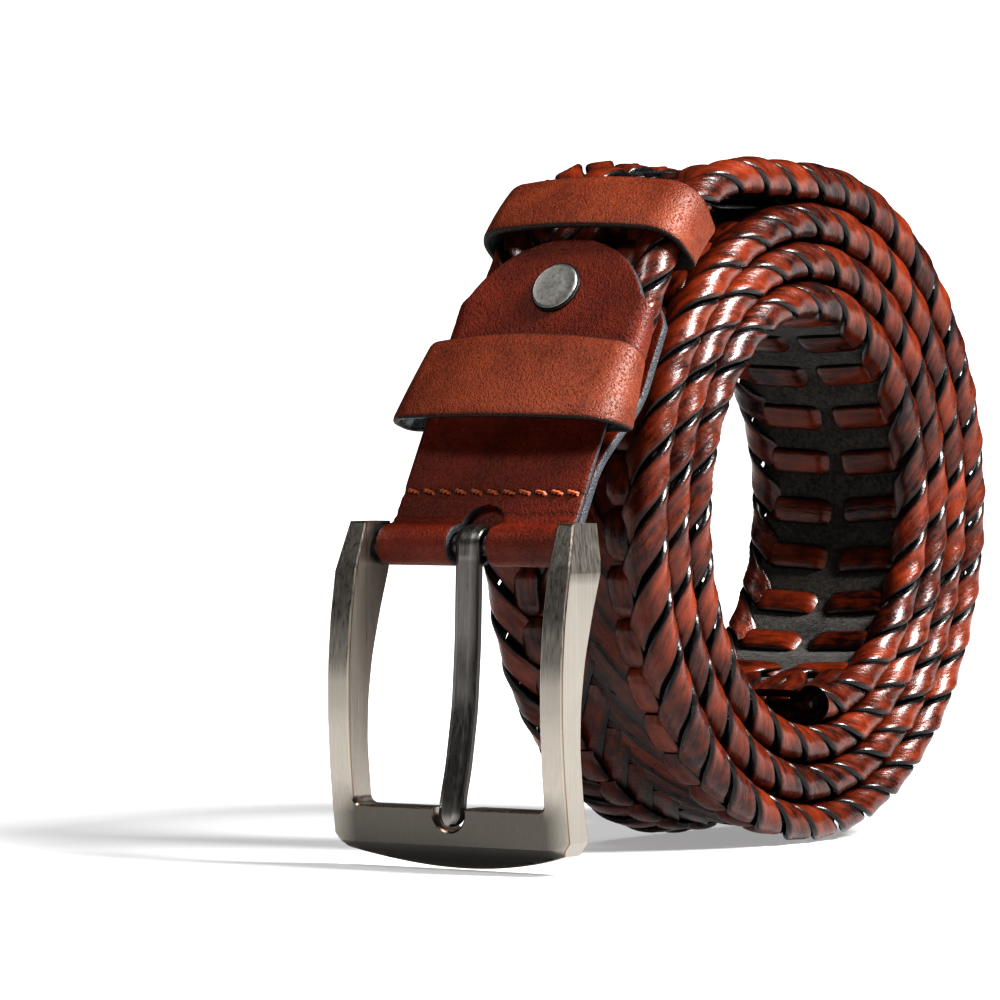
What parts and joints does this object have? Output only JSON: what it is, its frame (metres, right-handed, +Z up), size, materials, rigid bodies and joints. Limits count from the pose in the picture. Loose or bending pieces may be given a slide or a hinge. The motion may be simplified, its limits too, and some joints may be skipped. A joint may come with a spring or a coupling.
{
  "type": "laced leather belt",
  "caption": "Laced leather belt rolled into an upright coil, with a stitched leather tab, leather keepers and a steel pin buckle that hangs in front.",
  "frame": {"origin": "centre of the bounding box in plan, at the level surface the coil and the buckle's foot stand on", "axes": "+X across the strap's width, along the coil's axis; -Y the side the buckle hangs on; +Z up"},
  "size_m": [0.0454, 0.1478, 0.1162],
  "materials": {
    "tan_leather": "satin",
    "lace_leather": "satin",
    "core_leather": "matte",
    "thread": "matte",
    "gunmetal": "brushed",
    "nickel": "brushed",
    "dark_metal": "satin"
  },
  "bodies": {
    "belt": {"strap_core": "core_leather", "edge_lace_left": "lace_leather", "edge_lace_right": "lace_leather", "inner_lace_left": "lace_leather", "inner_lace_right": "lace_leather", "column_lace_left": "lace_leather", "column_lace_right": "lace_leather", "tab_strip": "tan_leather", "tab_stitches": "thread", "rivet_cap": "nickel", "rivet_collar": "dark_metal", "rivet_socket": "nickel", "fixed_keeper": "tan_leather"},
    "keeper": {"sliding_keeper": "tan_leather", "sliding_keeper_staple": "nickel"},
    "buckle": {"buckle_frame": "gunmetal", "buckle_bar": "gunmetal"},
    "tongue": {"prong": "gunmetal"}
  },
  "joints": [
    {"name": "buckle_swing", "type": "hinge", "parent": "belt", "child": "buckle", "pos_m": [0, -0.06426, 0.0518], "axis": [-1, 0, 0], "range_deg": [-20, 60]},
    {"name": "prong_swing", "type": "hinge", "parent": "buckle", "child": "tongue", "pos_m": [0, -0.06426, 0.0518], "axis": [-1, 0, 0], "range_deg": [0, 100]},
    {"name": "keeper_slide", "type": "hinge", "parent": "belt", "child": "keeper", "pos_m": [0, -0.00371, 0.07713], "axis": [1, 0, 0], "range_deg": [-25.5, 0]}
  ]
}
